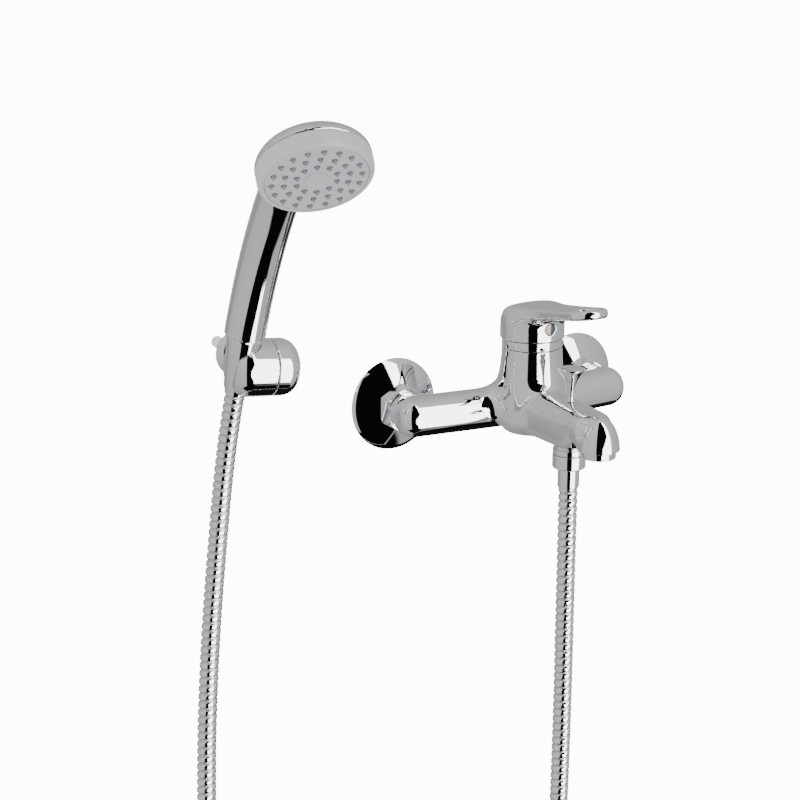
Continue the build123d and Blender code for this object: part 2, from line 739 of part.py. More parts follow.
def barrel_end_cap():
    """Domed snap-in cap that closes the barrel."""
    start = barrel_right + joint_gap
    plane = Plane(origin=(start, 0, 0), x_dir=(0, 1, 0), z_dir=(1, 0, 0))
    wall = 1.8
    lip_r = counterbore_r - 0.1
    mid = math.sqrt(0.5)
    outline = [
        Polyline((lip_r, -2.0), (lip_r, 0), (barrel_r, 0), (barrel_r, 2.0)),
        ThreePointArc((barrel_r, 2.0), (barrel_r * mid + 1.2, 2.0 + (cap_length - 2.0) * mid), (2.5, cap_length)),
        Polyline((2.5, cap_length), (0, cap_length), (0, cap_length - wall), (2.5, cap_length - wall)),
        ThreePointArc((2.5, cap_length - wall), ((lip_r - wall) * mid + 1, 2.0 + (cap_length - 4.0) * mid),
                      (lip_r - wall, 1.0)),
        Polyline((lip_r - wall, 1.0), (lip_r - wall, -2.0), (lip_r, -2.0)),
    ]
    return holder_frame * turned_outline(outline, plane)


# ---- hose end and handset ----------------------------------------------------------------------
nipple_low = cone_top - 10.2
cone_washer_low = nipple_low - 1.7
seam = cone_top + seam_gap
hose_end = cone_bottom - 4.0
handle_inner_r = handle_r - handle_wall
spigot_length = 12.0
spigot_r = handle_inner_r - spigot_length ** 2 / (2 * handle_bend_r) - 0.05    # clears the bent bore
face_rad = math.radians(face_angle)
spray_dir = Vector(0, -math.sin(face_rad), math.cos(face_rad))
face_centre = Vector(0, -face_forward, face_lift)
face_frame = Plane(origin=face_centre, x_dir=(1, 0, 0), z_dir=-spray_dir)
nozzle_rings = ((18, 0.75), (14, 0.55), (10, 0.35))


def cone_nut():
    """Conical nut of the hose; it sits in the holder and screws onto the handset."""
    bore = half_inch_pitch_r + 0.05
    flange_seat = cone_washer_low - 2.0
    return handset_frame * turned(
        [(cone_ferrule_r + running_gap, cone_bottom), (cone_bottom_r - 0.5, cone_bottom),
         (cone_r(cone_bottom + 0.6), cone_bottom + 0.6), (cone_r(cone_top - 0.6), cone_top - 0.6),
         (cone_top_r - 0.6, cone_top), (bore, cone_top), (bore, flange_seat),
         (cone_ferrule_r + running_gap, flange_seat)]
    )


def hose_ferrule_upper():
    """Crimped hose end that the conical nut turns on."""
    flange_low = cone_washer_low - 1.9
    flange_high = cone_washer_low - 0.1
    return holder_frame * turned(
        [(4.5, hose_end), (cone_ferrule_r - 0.4, hose_end), (cone_ferrule_r, hose_end + 0.5),
         (cone_ferrule_r, flange_low),
         (half_inch_pitch_r - 0.3, flange_low), (half_inch_pitch_r - 0.3, flange_high), (4.5, flange_high)]
    )


def hose_washer_upper():
    """Rubber washer between the hose end and the handset's nipple."""
    return handset_frame * tube(half_inch_pitch_r - 0.5, 4.5, (0, 0, cone_washer_low), (0, 0, nipple_low - 0.1))


def handset_nipple():
    """Threaded inlet pressed into the lower end of the handle."""
    return handset_frame * turned(
        [(4.5, nipple_low), (half_inch_pitch_r, nipple_low), (half_inch_pitch_r, seam), (spigot_r, seam),
         (spigot_r, seam + spigot_length), (4.5, seam + spigot_length)]
    )


def handle_path():
    """Gently bent centre line of the handle, then a tighter neck that ends inside the head."""
    end = math.radians(handle_bend_degrees)
    bend = handle_bend_r
    grip = ThreePointArc(*[(0, bend * (math.cos(a) - 1), seam + bend * math.sin(a)) for a in (0, end / 2, end)])
    root = face_frame.from_local_coords((0, 0, neck_end_depth))
    return grip + TangentArc(grip @ 1, root, tangent=grip % 1)


def handle_bar(radius):
    """Round bar along the handle's centre line."""
    path = handle_path()
    return sweep(Plane(origin=path @ 0, z_dir=path % 0) * Circle(radius), path=path)


def head_dome(radius, depth, start):
    """Domed back of the head, in the face's frame."""
    mid = math.sqrt(0.5)
    return turned_outline(
        [
            Polyline((0, start), (radius, start)),
            ThreePointArc((radius, start), (radius * (mid + 0.06), start + depth * mid), (0, start + depth)),
            Line((0, start + depth), (0, start)),
        ],
        face_frame,
    )


def handset_shell():
    """Chromed handle and domed head back in one hollow moulding."""
    outer = handle_bar(handle_r) + head_dome(face_r, dome_depth, face_ring_depth + joint_gap)
    inner_dome = head_dome(face_r - shell_wall, dome_depth - shell_wall, face_ring_depth - 1)
    inner = handle_bar(handle_inner_r) + inner_dome
    trim = face_frame * Cylinder(face_r + 30, 40, align=(Align.CENTER, Align.CENTER, Align.MAX))
    trim = Pos(spray_dir * -(face_ring_depth + joint_gap)) * trim
    return handset_frame * solid_of(outer - trim - inner)


def face_ring():
    """Light grey ring that frames the spray face."""
    return handset_frame * turned(
        [(plate_r + 0.2, 0), (face_r - 2.4, 0), (face_r - 0.6, 1.2), (face_r, 3.0), (face_r, face_ring_depth),
         (face_r - 2.6, face_ring_depth), (face_r - 2.6, 3.4), (plate_r - 1.2, 3.4), (plate_r - 1.2, 2.6),
         (plate_r + 0.2, 2.6)],
        face_frame,
    )


def nozzle_places():
    """Centres of all spray nozzles on the face."""
    for count, share in nozzle_rings:
        for index in range(count):
            angle = 2 * math.pi * index / count
            yield (share * face_r * math.cos(angle), share * face_r * math.sin(angle))


def spray_plate():
    """Flat front plate with a hole for each nozzle."""
    plate = Pos(0, 0, 1.5) * Cylinder(plate_r, 2.0)
    holes = Sketch() + [Pos(x, y) * Circle(1.75) for x, y in nozzle_places()]
    plate = plate - extrude(holes, 5) - Cylinder(2.2, 10)
    return handset_frame * (face_frame * solid_of(plate))


def nozzle_mat():
    """Soft mat behind the plate with one conical nozzle through each hole."""
    mat = Pos(0, 0, 3.25) * Cylinder(plate_r - 1.6, 1.3)
    cone = Pos(0, 0, 0.85) * Rot(180, 0, 0) * Cone(1.6, 0.9, 4.1)
    for x, y in nozzle_places():
        mat = mat + Pos(x, y, 0) * cone
    mat = mat - Cylinder(3.5, 20)
    return handset_frame * (face_frame * solid_of(mat))


def centre_cap():
    """Flat snap cap over the face screw."""
    cap = Pos(0, 0, 0.2) * Cylinder(6.6, 0.5)
    return handset_frame * (face_frame * cap)


def face_screw():
    """Screw that holds the plate and mat to the flow chamber."""
    screw = Pos(0, 0, 7.2) * Cylinder(2.1, 13.0)
    return handset_frame * (face_frame * screw)


def flow_chamber():
    """Cup behind the mat that spreads the water to the nozzles."""
    cup = Pos(0, 0, 8.5) * Cylinder(plate_r - 1.0, 9.0) - Pos(0, 0, 6.5) * Cylinder(plate_r - 3.0, 8.0)
    boss = Pos(0, 0, 10.0) * Cylinder(4.5, 10.0)
    hole = Pos(0, 0, 8.0) * Cylinder(2.1 + running_gap, 12.5)
    inlet = Pos(0, 12, 12) * Cylinder(4.6, 6)
    return handset_frame * (face_frame * solid_of(cup + boss - hole - inlet))


def hose_route():
    """Corner points of the hose's centre line, from the handset's end to the outlet, chosen by hand."""
    start = bracket_origin + cone_dir * hose_end
    below_cone = start - cone_dir * 34.0
    above_outlet = Vector(0, -outlet_offset, ferrule_low - 72.0)
    end = Vector(0, -outlet_offset, ferrule_low)
    middle = [
        (-218.5, -25.5, -58.0),
        (-227.5, -25.5, -140.0),
        (-236.0, -32.0, -228.0),
        (-240.0, -41.0, -325.0),
        (-236.0, -50.5, -420.0),
        (-215.0, -60.0, -500.0),
        (-174.0, -69.5, -557.0),
        (-120.0, -79.0, -577.0),
        (-66.0, -89.0, -556.0),
        (-27.0, -97.5, -500.0),
        (-8.0, -103.0, -415.0),
        (-1.7, -105.9, -315.0),
        (-0.1, -105.7, -214.0),
    ]
    return [start, below_cone] + [Vector(*point) for point in middle] + [above_outlet, end]


def shower_hose():
    """Metal shower hose as a plain tube along runs joined by tangent arcs."""
    points = hose_route()
    radii = []
    for before, corner, after in zip(points, points[1:], points[2:]):
        turn = math.radians((corner - before).get_angle(after - corner))
        shorter = min((corner - before).length, (after - corner).length)
        radii.append(0.45 * shorter / math.tan(turn / 2))
    path = FilletPolyline(*points, radius=radii)
    jacket = Circle(hose_r) - Circle(hose_r - hose_wall)
    bar = sweep(Plane(origin=path @ 0, z_dir=path % 0) * jacket, path=path)
    expected = math.pi * (hose_r ** 2 - (hose_r - hose_wall) ** 2) * path.length
    print("hose radii", [round(radius) for radius in radii])
    print("hose length", round(path.length, 1), "volume ratio", round(bar.volume / expected, 5))
    return bar


# ---- write every node --------------------------------------------------------------------------
os.makedirs("parts", exist_ok=True)
for label, side in arm_side.items():
    save(wall_flange(side), f"wall_flange_{label}")
    save(eccentric_union(side), f"eccentric_union_{label}")
    save(union_nut(side), f"union_nut_{label}")

pieces = (
    inlet_washers, mixer_body,
    cartridge_seals, cartridge_housing, ceramic_disc_fixed, ceramic_disc_moving, cartridge_turret,
    cartridge_spindle, clamp_nut, cover_ring, lever, lever_grub_screw, indicator_plug,
    diverter_gland, diverter_stem, diverter_knob, diverter_valve, diverter_rings, diverter_spring,
    aerator_housing, aerator_insert, aerator_washer, outlet_nipple, hose_washer_lower, hose_nut,
    hose_ferrule_lower, shower_hose, hose_ferrule_upper, cone_nut, hose_washer_upper,
    bracket_base, bracket_rosette, wall_screw, wall_plug, friction_washer, pivot_screw,
    holder_barrel, barrel_end_cap,
    handset_nipple, handset_shell, face_ring, spray_plate, nozzle_mat, centre_cap, face_screw, flow_chamber,
)
for piece in pieces:
    save(piece(), piece.__name__)
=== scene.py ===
import json
import math

import bmesh
import bpy
import numpy as np
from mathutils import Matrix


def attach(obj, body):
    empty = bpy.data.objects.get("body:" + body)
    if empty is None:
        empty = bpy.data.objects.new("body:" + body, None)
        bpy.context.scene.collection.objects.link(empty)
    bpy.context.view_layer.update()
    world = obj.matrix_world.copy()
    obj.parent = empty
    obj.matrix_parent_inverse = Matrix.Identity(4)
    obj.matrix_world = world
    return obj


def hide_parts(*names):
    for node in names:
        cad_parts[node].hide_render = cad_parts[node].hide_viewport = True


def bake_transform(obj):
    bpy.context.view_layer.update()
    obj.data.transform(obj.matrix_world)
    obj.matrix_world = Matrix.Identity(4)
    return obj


# Looks for the wall-mounted bath mixer. Lengths below are millimetres in the row frame unless a name
# says otherwise: the wall is Y = 0, the room is towards -Y, and Z points up.
MM = 0.001

# Places that several pieces share.
inlet_x = 75.0                # each inlet's axis, to either side of the middle
column_y = 58.0               # wall to the column's axis
outlet_y = 105.0              # wall to the axis of the diverter and the hose outlet
spout_y = 137.5               # wall to the aerator's axis
indicator_z = 60.2            # height of the hot and cold plug
indicator_r = 3.9             # its radius

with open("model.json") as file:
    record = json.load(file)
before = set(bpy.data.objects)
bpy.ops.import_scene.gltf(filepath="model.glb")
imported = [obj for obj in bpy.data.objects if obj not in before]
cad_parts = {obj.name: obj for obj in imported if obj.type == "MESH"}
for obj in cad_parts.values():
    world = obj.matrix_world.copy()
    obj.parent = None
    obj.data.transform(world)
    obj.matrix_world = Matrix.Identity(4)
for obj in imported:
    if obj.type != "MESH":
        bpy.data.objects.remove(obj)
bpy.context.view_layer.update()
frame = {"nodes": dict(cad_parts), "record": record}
nodes = frame["nodes"]


# ---- materials -------------------------------------------------------------------------------------
def srgb(code):
    """Linear RGBA of an sRGB hex colour."""
    parts = [int(code[i:i + 2], 16) / 255 for i in (1, 3, 5)]
    return [c / 12.92 if c <= 0.04045 else ((c + 0.055) / 1.055) ** 2.4 for c in parts] + [1.0]


def add(tree, kind, links=(), **inputs):
    """New node with its inputs set; links pair an input with the node, socket or number that feeds it."""
    node = tree.nodes.new(kind)
    for name, value in inputs.items():
        if hasattr(node, name) and name not in node.inputs:
            setattr(node, name, value)
        else:
            node.inputs[name].default_value = value
    for name, source in links:
        if isinstance(source, bpy.types.Node):
            source = source.outputs[0]
        if isinstance(source, bpy.types.NodeSocket):
            tree.links.new(source, node.inputs[name])
        else:
            node.inputs[name].default_value = source
    return node


def plain(name, colour, metallic, roughness, coat=0.0, ior=1.5):
    """Principled material with one colour and finish."""
    material = bpy.data.materials.new(name)
    material.use_nodes = True
    shader = material.node_tree.nodes["Principled BSDF"]
    shader.inputs["Base Color"].default_value = srgb(colour)
    shader.inputs["Metallic"].default_value = metallic
    shader.inputs["Roughness"].default_value = roughness
    shader.inputs["Coat Weight"].default_value = coat
    shader.inputs["IOR"].default_value = ior
    return material


def grained(material, scale_mm, strength):
    """Fine moulded or brushed grain, as a bump of the given size."""
    tree = material.node_tree
    place = add(tree, "ShaderNodeTexCoord")
    noise = add(tree, "ShaderNodeTexNoise", [("Vector", place.outputs["Object"])],
                Scale=1 / (scale_mm * MM), Detail=3.0)
    bump = add(tree, "ShaderNodeBump", [("Height", noise.outputs["Fac"])],
               Strength=strength, Distance=0.05 * MM)
    tree.links.new(bump.outputs["Normal"], tree.nodes["Principled BSDF"].inputs["Normal"])
    return material


# Mirror chrome plate on cast and turned brass.
chrome = plain("chrome_plate", "#e6e3e7", 1.0, 0.035)
# Chrome plate on moulded plastic: as bright, a touch softer.
chrome_plastic = plain("chrome_on_plastic", "#e4e1e5", 1.0, 0.045)
# Chromed steel strip of the hose, less even than the castings.
hose_chrome = plain("hose_strip", "#f0eff2", 1.0, 0.10)
# Darker, rougher chrome in the hose's grooves; the darker colour is painted shade in the grooves.
hose_groove_shade = plain("hose_groove_shade", "#d9d8dc", 1.0, 0.42)
# Satin chromed brass of the wall unions.
satin_chrome = plain("satin_chrome", "#bdbcbe", 1.0, 0.22)
# Bare machined brass inside.
brass = grained(plain("bare_brass", "#c9a35a", 1.0, 0.28), 0.8, 0.15)
# Plain stainless steel.
steel = plain("stainless", "#a9a9aa", 1.0, 0.25)
# White moulded cartridge plastic.
cartridge = grained(plain("white_plastic", "#dedcd6", 0.0, 0.5), 0.5, 0.1)
# Lapped alumina.
ceramic = plain("alumina", "#efece4", 0.0, 0.18)
# Natural white nylon of the wall plug.
nylon = plain("white_nylon", "#f4f4f1", 0.0, 0.45)
# Black rubber.
rubber = grained(plain("black_rubber", "#141414", 0.0, 0.65), 0.4, 0.2)
# Satin pale grey plastic of the spray face.
face_grey = grained(plain("face_plastic", "#c6c5ca", 0.0, 0.38), 0.6, 0.06)
# Soft grey rubber of the nozzles.
nozzle_grey = plain("nozzle_rubber", "#8b8a91", 0.0, 0.6)

# Hot and cold plug: pale red on the left half, dark blue on the right, under a clear gloss.
indicator = plain("hot_cold_plug", "#c9a0a4", 0.0, 0.2, coat=0.5)
tree = indicator.node_tree
place = add(tree, "ShaderNodeTexCoord")
split = add(tree, "ShaderNodeSeparateXYZ", [("Vector", place.outputs["Object"])])
side = add(tree, "ShaderNodeMapRange", [("Value", split.outputs["X"])])
side.inputs["From Min"].default_value = -0.15 * MM
side.inputs["From Max"].default_value = 0.15 * MM
colours = add(tree, "ShaderNodeMix", [("Factor", side.outputs["Result"])], data_type="RGBA")
colours.inputs[6].default_value = srgb("#d0a3a5")
colours.inputs[7].default_value = srgb("#3d4a5e")
tree.links.new(colours.outputs[2], tree.nodes["Principled BSDF"].inputs["Base Color"])

finish_of_slot = {
    "chrome": chrome, "hose_metal": hose_chrome, "union_brass": satin_chrome, "brass": brass,
    "chromed_plastic": chrome_plastic, "steel": steel, "cartridge_plastic": cartridge, "ceramic": ceramic,
    "rubber": rubber, "indicator": indicator, "face_plastic": face_grey, "nozzle_rubber": nozzle_grey,
}
slot_of_node = {row["node"]: row["material_slot"] for row in frame["record"]["subparts"]}
for name, node in nodes.items():
    node.data.materials.clear()
    node.data.materials.append(nylon if name == "wall_plug" else finish_of_slot[slot_of_node[name]])


# ---- places ----------------------------------------------------------------------------------------
class Place:
    """A local frame: an origin and three axes, in millimetres."""

    def __init__(self, origin, x, z):
        self.origin = np.array(origin, float)
        x = np.array(x, float) / np.linalg.norm(x)
        z = np.array(z, float) / np.linalg.norm(z)
        self.axes = np.array([x, np.cross(z, x), z])

    def out(self, points):
        """Local points in the row frame."""
        return np.asarray(points, float) @ self.axes + self.origin

    def turned(self, degrees):
        """The same place turned about its Z axis."""
        a = math.radians(degrees)
        x = math.cos(a) * self.axes[0] + math.sin(a) * self.axes[1]
        return Place(self.origin, x, self.axes[2])


roll = math.radians(5.5)
lean = math.radians(12.87)
barrel_dir = np.array([math.cos(roll), 0, -math.sin(roll)])
cone_dir = np.array([math.sin(roll) * math.cos(lean), -math.sin(lean), math.cos(roll) * math.cos(lean)])
bracket_origin = np.array([-208.1, -42.0, 52.2])
holder = Place(bracket_origin, barrel_dir, cone_dir)
handset = holder.turned(-6.3)
face_angle = math.radians(124.7)
spray = np.array([0, -math.sin(face_angle), math.cos(face_angle)])
face_centre = np.array([0, -72.4, 150.2])
face = Place(handset.out(face_centre), handset.axes[0], -(spray @ handset.axes))
row = Place((0, 0, 0), (1, 0, 0), (0, 0, 1))


def upright(y, z=0.0):
    """A vertical axis at a distance from the wall, in the middle plane."""
    return Place((0, -y, z), (1, 0, 0), (0, 0, 1))


# ---- mesh builders ---------------------------------------------------------------------------------
def piece(name, mesh, material, body, stands_for=()):
    """Object from a mesh, with its finish, riding on a body."""
    obj = bpy.data.objects.new(name, mesh)
    bpy.context.scene.collection.objects.link(obj)
    if material:
        mesh.materials.append(material)
    if body:
        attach(obj, body)
    if stands_for:
        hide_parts(*stands_for)
    return obj


def softened(points, radius, steps=5):
    """Closed outline with each corner rounded."""
    points = [np.array(p, float) for p in points]
    out = []
    for before, corner, after in zip(points[-1:] + points[:-1], points, points[1:] + points[:1]):
        back = before - corner
        on = after - corner
        turn = abs(np.cross(back, on)) / (np.linalg.norm(back) * np.linalg.norm(on) + 1e-9)
        if corner[0] < 0.01 or turn < 0.12:
            out.append(corner)
            continue
        start = corner + back * min(radius / np.linalg.norm(back), 0.45)
        end = corner + on * min(radius / np.linalg.norm(on), 0.45)
        for t in np.linspace(0, 1, steps):
            out.append((1 - t) ** 2 * start + 2 * t * (1 - t) * corner + t ** 2 * end)
    return out


def arc(p0, p1, p2, steps=16):
    """Points of the arc through three (r, z) points."""
    (ax, ay), (bx, by), (cx, cy) = p0, p1, p2
    d = 2 * (ax * (by - cy) + bx * (cy - ay) + cx * (ay - by))
    aa, bb, cc = ax ** 2 + ay ** 2, bx ** 2 + by ** 2, cx ** 2 + cy ** 2
    ux = (aa * (by - cy) + bb * (cy - ay) + cc * (ay - by)) / d
    uy = (aa * (cx - bx) + bb * (ax - cx) + cc * (bx - ax)) / d
    a0, a1, a2 = (math.atan2(y - uy, x - ux) for x, y in (p0, p1, p2))
    two_pi = 2 * math.pi
    first, whole = (a1 - a0) % two_pi, (a2 - a0) % two_pi
    if first > whole:
        whole -= two_pi
    radius = math.hypot(ax - ux, ay - uy)
    return [(ux + radius * math.cos(a0 + whole * t), uy + radius * math.sin(a0 + whole * t))
            for t in np.linspace(0, 1, steps)]


def lathe(name, outline, place, material, body, stands_for=(), segments=112):
    """Closed (r, z) outline turned about a place's Z axis."""
    angles = np.linspace(0, 2 * math.pi, segments, endpoint=False)
    r = np.array([p[0] for p in outline])
    z = np.array([p[1] for p in outline])
    ring = np.stack([np.outer(r, np.cos(angles)), np.outer(r, np.sin(angles)),
                     np.repeat(z[:, None], segments, 1)], -1)
    count = len(outline)
    i = np.arange(count)[:, None]
    j = np.arange(segments)[None, :]
    after_i, after_j = (i + 1) % count, (j + 1) % segments
    faces = np.stack([i * segments + j, i * segments + after_j, after_i * segments + after_j,
                      after_i * segments + j], -1).reshape(-1, 4)
    mesh = bpy.data.meshes.new(name)
    mesh.from_pydata((place.out(ring.reshape(-1, 3)) * MM).tolist(), [], faces.tolist())
    edit = bmesh.new()
    edit.from_mesh(mesh)
    bmesh.ops.remove_doubles(edit, verts=edit.verts, dist=1e-6)
    bmesh.ops.recalc_face_normals(edit, faces=edit.faces)
    edit.to_mesh(mesh)
    edit.free()
    mesh.shade_smooth()
    mesh.set_sharp_from_angle(angle=math.radians(32))
    return piece(name, mesh, material, body, stands_for)


def joined(a, b, k):
    """Smooth union of two distance fields."""
    h = np.clip(0.5 + 0.5 * (b - a) / k, 0, 1)
    return b * (1 - h) + a * h - k * h * (1 - h)


def cut(a, b, k):
    """Field a with field b taken away, edges rounded."""
    return -joined(-a, b, k)


def rounded(u, v, radius):
    """Field of a solid bounded by u < 0 and v < 0, with the shared edge rounded."""
    u = u + radius
    v = v + radius
    return np.hypot(np.maximum(u, 0), np.maximum(v, 0)) + np.minimum(np.maximum(u, v), 0) - radius


def moulded(name, field, low, high, step, place, material, body, stands_for=()):
    """Mesh of the surface where a field is zero, in a place's own frame."""
    low = np.array(low, float)
    axes = [np.arange(a, b + step, step) for a, b in zip(low, high)]
    grid = np.stack(np.meshgrid(*axes, indexing="ij"), -1)
    shape = np.array(grid.shape[:3])
    values = field(grid.reshape(-1, 3)).reshape(shape)
    cells = shape - 1
    total = int(np.prod(cells))
    sums = np.zeros((total, 3))
    counts = np.zeros(total)
    quads = []
    for axis in range(3):
        u, v = (axis + 1) % 3, (axis + 2) % 3
        first = np.take(values, range(shape[axis] - 1), axis)
        second = np.take(values, range(1, shape[axis]), axis)
        edges = np.argwhere((first < 0) != (second < 0))
        f0 = first[tuple(edges.T)]
        f1 = second[tuple(edges.T)]
        points = edges.astype(float)
        points[:, axis] += f0 / (f0 - f1)
        points = low + step * points
        corners = []
        for du, dv in ((0, 0), (-1, 0), (-1, -1), (0, -1)):
            cell = edges.copy()
            cell[:, u] += du
            cell[:, v] += dv
            flat = np.ravel_multi_index(cell.T, cells)
            counts += np.bincount(flat, minlength=total)
            for k in range(3):
                sums[:, k] += np.bincount(flat, weights=points[:, k], minlength=total)
            corners.append(flat)
        quad = np.stack(corners, 1)
        quad[f0 >= 0] = quad[f0 >= 0][:, ::-1]
        quads.append(quad)
    used = np.flatnonzero(counts)
    index = np.full(total, -1)
    index[used] = np.arange(len(used))
    points = sums[used] / counts[used][:, None]

    def slope(p):
        e = 0.02
        return np.stack([(field(p + e * unit) - field(p - e * unit)) / (2 * e) for unit in np.eye(3)], 1)

    for _ in range(5):
        g = slope(points)
        move = field(points)[:, None] * g / np.maximum((g ** 2).sum(1), 0.05)[:, None]
        reach = np.linalg.norm(move, axis=1)[:, None]
        points = points - move * np.minimum(1, 0.6 * step / np.maximum(reach, 1e-9))
    normals = slope(points) @ place.axes
    normals /= np.maximum(np.linalg.norm(normals, axis=1), 1e-9)[:, None]
    mesh = bpy.data.meshes.new(name)
    mesh.from_pydata((place.out(points) * MM).tolist(), [], index[np.concatenate(quads)].tolist())
    mesh.shade_smooth()
    mesh.normals_split_custom_set_from_vertices(normals.tolist())
    return piece(name, mesh, material, body, stands_for)


# ---- mixer body ------------------------------------------------------------------------------------
arm_y = 42.0                  # wall to the arms' axes, where they meet
arm_run_y = 7.0               # how far the arms come back towards the wall


def body_field(p):
    """Two arms, the column, the spout and its nose, and the hollows for the aerator and cartridge."""
    x, y, z = p.T
    ax = np.hypot(x, 6.0) - 2.0
    along = np.array([inlet_x, arm_run_y]) / math.hypot(inlet_x, arm_run_y)
    s = ax * along[0] + (y + arm_y) * along[1]
    t = -ax * along[1] + (y + arm_y) * along[0]
    arm = rounded(s - 89.2, np.hypot(t, z) - 14.0, 11.0)
    boss = rounded(np.abs(y + 28) - 7.2, np.hypot(ax - inlet_x, z) - 13.1, 0.8)
    q = np.hypot(x, y + column_y)
    wall = 22.0 - 1.6 * np.clip((z - 25) / 15.3, 0, 1)
    column = rounded(np.abs(z - 15.3) - 29.3, q - wall, 0.5)
    foot = np.clip((-6 - z) / 8, 0, 1)
    column = np.maximum(column, q - wall + 5 * foot ** 2)
    out = -y
    half = np.interp(out, [58, 122, 140], [18.5, 14.6, 13.4])
    top = np.interp(out, [40, 58, 102, 138], [20.5, 19.5, 17.2, 14.8])
    low = -14 + 7.5 * np.clip((out - 112) / 12, 0, 1) ** 2
    mid, tall = (top + low) / 2, (top - low) / 2
    spout = ((np.abs(x) / half) ** 2.8 + (np.abs(z - mid) / tall) ** 2.8 + 1e-9) ** (1 / 2.8)
    spout = (spout - 1) * 13.0
    spout = rounded(spout, np.abs(out - 91) - 45, 6.0)
    n = np.hypot(x, y + spout_y)
    nose = (np.sqrt((n / 14.0) ** 2 + (np.maximum(z + 8.5, 0) / 24.2) ** 2) - 1) * 14.0
    nose = rounded(nose, -7.0 - z, 0.5)
    flare = np.interp(z, [-11, 4], [1.5, 16.0])
    shape = joined(arm, boss, 2.5)
    shape = joined(shape, column, flare)
    shape = joined(shape, spout, np.minimum(flare, 7.0))
    shape = joined(shape, nose, np.minimum(flare, 4.0))
    hollow = rounded(n - 11.7, np.abs(z + 8.5) - 8.0, 0.3)
    shape = np.maximum(shape, -hollow)
    mouth = rounded(q - 17.5, 30.0 - z, 0.3)
    return np.maximum(shape, -mouth)


moulded("body_casting", body_field, (-98, -156, -20), (98, -15, 49), 1.0, row,
        chrome, "fixed", ["mixer_body"])


# ---- lever -----------------------------------------------------------------------------------------
def lever_field(p):
    """The domed skirt and the blade with its finger loop, over the cartridge."""
    x, y, z = p.T
    q = np.hypot(x, y + column_y)
    up = np.maximum(z - 55.5, 0)
    skirt = (((q / 21.8) ** 3 + (up / 17.5) ** 3 + 1e-9) ** (1 / 3) - 1) * 19.0
    skirt = rounded(skirt, 51.2 - z, 0.7)
    s = -(y + column_y)
    tilt = math.radians(9.6)
    along = s * math.cos(tilt) + (z - 68.3) * math.sin(tilt)
    off = -s * math.sin(tilt) + (z - 68.3) * math.cos(tilt)
    half = np.interp(along, [0, 30, 52, 63], [17.5, 14.4, 13.4, 13.5])
    ends = np.hypot(x, np.maximum(along - 63.4, 0)) - half
    ends = np.maximum(ends, -along - 4)
    hole = (np.hypot(x / 7.4, (along - 64.0) / 9.0) - 1) * 8
    plan = np.maximum(ends, -hole)
    thick = np.interp(along, [0, 40, 77], [4.4, 3.6, 3.2])
    blade = rounded(plan, np.abs(off) - thick, 2.8)
    shape = joined(skirt, blade, 9.0)
    inside = rounded(q - 20.7, z - 61.0, 3.0)
    shape = np.maximum(shape, -inside)
    window = np.maximum(np.hypot(x, z - indicator_z) - indicator_r - 0.2, y + 72)
    return cut(shape, window, 0.3)


moulded("lever_casting", lever_field, (-24, -143, 45), (24, -34, 87), 0.85, row,
        chrome, "lever_body", ["lever"])
plug = [(0.0, 0.2), (3.3, 0.1), (3.7, -0.1), (indicator_r, -0.5), (indicator_r, -3.0), (0.0, -3.0)]
lathe("indicator", plug, Place((0, -79.9, indicator_z), (1, 0, 0), (0, -1, 0)),
      indicator, "lever_body", ["indicator_plug"])


# ---- handset shell ---------------------------------------------------------------------------------
bend = 280.0                  # radius of the grip's curve
seam = 22.6                   # lower end of the handle, up from the seat
grip_end = math.radians(20)   # how far round that curve the grip runs
samples = np.linspace(0, grip_end, 220)
grip = np.stack([bend * (np.cos(samples) - 1), seam + bend * np.sin(samples)], 1)
neck_to = (face_centre - 16.0 * spray)[1:]
heading = np.array([-math.sin(grip_end), math.cos(grip_end)])
side_way = np.array([-heading[1], heading[0]])
chord = neck_to - grip[-1]
neck_r = chord @ chord / (2 * chord @ side_way)
neck_c = grip[-1] + neck_r * side_way
sweep = 2 * math.atan2(chord @ side_way, chord @ heading)
turns = np.linspace(0, sweep, 120)[1:]
rotated = (grip[-1] - neck_c)[None, :] * np.cos(turns)[:, None] + np.stack(
    [-(grip[-1] - neck_c)[1] * np.sin(turns), (grip[-1] - neck_c)[0] * np.sin(turns)], 1)
spine = np.concatenate([[[0, seam - 5]], grip, neck_c + rotated])


def shell_field(p):
    """The handle along its spine and the domed back of the head."""
    x, y, z = p.T
    flat = np.full(len(p), 1e9)
    for a, b in zip(spine[:-1:3], spine[3::3]):
        run = b - a
        t = np.clip(((y - a[0]) * run[0] + (z - a[1]) * run[1]) / (run @ run), 0, 1)
        flat = np.minimum(flat, (y - a[0] - t * run[0]) ** 2 + (z - a[1] - t * run[1]) ** 2)
    handle = np.sqrt(x ** 2 + flat) - 13.0
    handle = rounded(handle, seam - z, 0.4)
    rel = p - face_centre
    behind = -(rel @ spray)
    q = np.sqrt(np.maximum((rel ** 2).sum(1) - behind ** 2, 0))
    dome = (np.sqrt((q / 33.5) ** 2 + (np.maximum(behind - 11.0, 0) / 16.0) ** 2) - 1) * 24.0
    dome = rounded(dome, 10.3 - behind, 0.5)
    shape = joined(handle, dome, 12.0)
    front = np.maximum(q - 34.0, np.abs(behind + 8.0) - 18.2)
    return np.maximum(shape, -front)


moulded("handset_casting", shell_field, (-37, -104, 20), (37, 16, 190), 1.3, handset,
        chrome_plastic, "handset", ["handset_shell"])


# ---- bracket barrel --------------------------------------------------------------------------------
barrel_r = 18.4
barrel_low_x = -6.5           # rounded left end, along the barrel from the seat's axis
barrel_high_x = 37.5          # right end of the cap
seam_x = 19.8                 # joint between the barrel and its cap
half_gap = 0.2                # from the middle of that joint to either side


def cone_r(z):
    """Radius of the conical nut at a height above the seat."""
    return 7.9 + (z + 14.0) * (11.2 - 7.9) / 36.2


